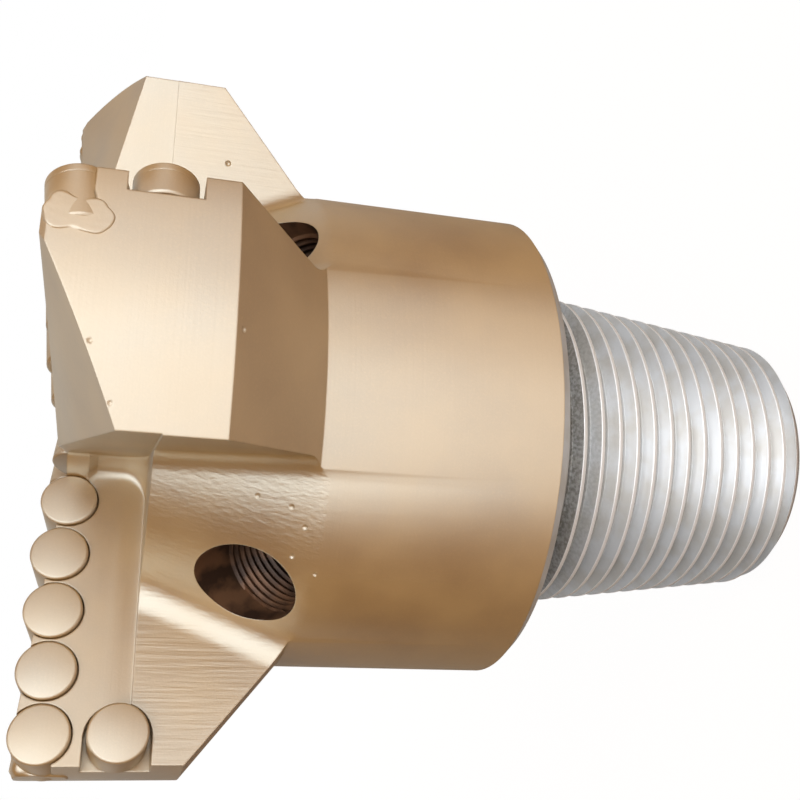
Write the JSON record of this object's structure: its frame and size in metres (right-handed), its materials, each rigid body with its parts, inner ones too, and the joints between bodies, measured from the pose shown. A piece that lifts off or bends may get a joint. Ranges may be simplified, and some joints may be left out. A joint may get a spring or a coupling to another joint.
{
  "type": "pdc drill bit",
  "caption": "Steel-body rotary drill bit with radial wings, brazed round cutters on the nose and gauge, nozzle sockets and a tapered threaded pin.",
  "frame": {"origin": "centre of the pin's end face, which the bit stands on", "axes": "+Z along the bit's axis from the pin to the cutting nose; the first wing's leading face runs outward along +X, and the bit cuts turning counter-clockwise seen from the nose (clockwise seen from the pin)"},
  "size_m": [0.178, 0.178, 0.1972],
  "materials": {
    "gold_paint": "satin",
    "painted_cutter": "satin"
  },
  "bodies": {
    "root": {"bit_body": "gold_paint", "wing_1_nose_cutter_1": "painted_cutter", "wing_1_nose_cutter_2": "painted_cutter", "wing_1_nose_cutter_3": "painted_cutter", "wing_1_nose_cutter_4": "painted_cutter", "wing_1_nose_cutter_5": "painted_cutter", "wing_1_gauge_cutter": "painted_cutter", "wing_2_nose_cutter_1": "painted_cutter", "wing_2_nose_cutter_2": "painted_cutter", "wing_2_nose_cutter_3": "painted_cutter", "wing_2_nose_cutter_4": "painted_cutter", "wing_2_nose_cutter_5": "painted_cutter", "wing_2_nose_cutter_6": "painted_cutter", "wing_2_gauge_cutter": "painted_cutter", "wing_3_nose_cutter_1": "painted_cutter", "wing_3_nose_cutter_2": "painted_cutter", "wing_3_nose_cutter_3": "painted_cutter", "wing_3_nose_cutter_4": "painted_cutter", "wing_3_nose_cutter_5": "painted_cutter", "wing_3_gauge_cutter": "painted_cutter", "wing_4_nose_cutter_1": "painted_cutter", "wing_4_nose_cutter_2": "painted_cutter", "wing_4_nose_cutter_3": "painted_cutter", "wing_4_nose_cutter_4": "painted_cutter", "wing_4_nose_cutter_5": "painted_cutter", "wing_4_nose_cutter_6": "painted_cutter", "wing_4_gauge_cutter": "painted_cutter"}
  },
  "joints": []
}
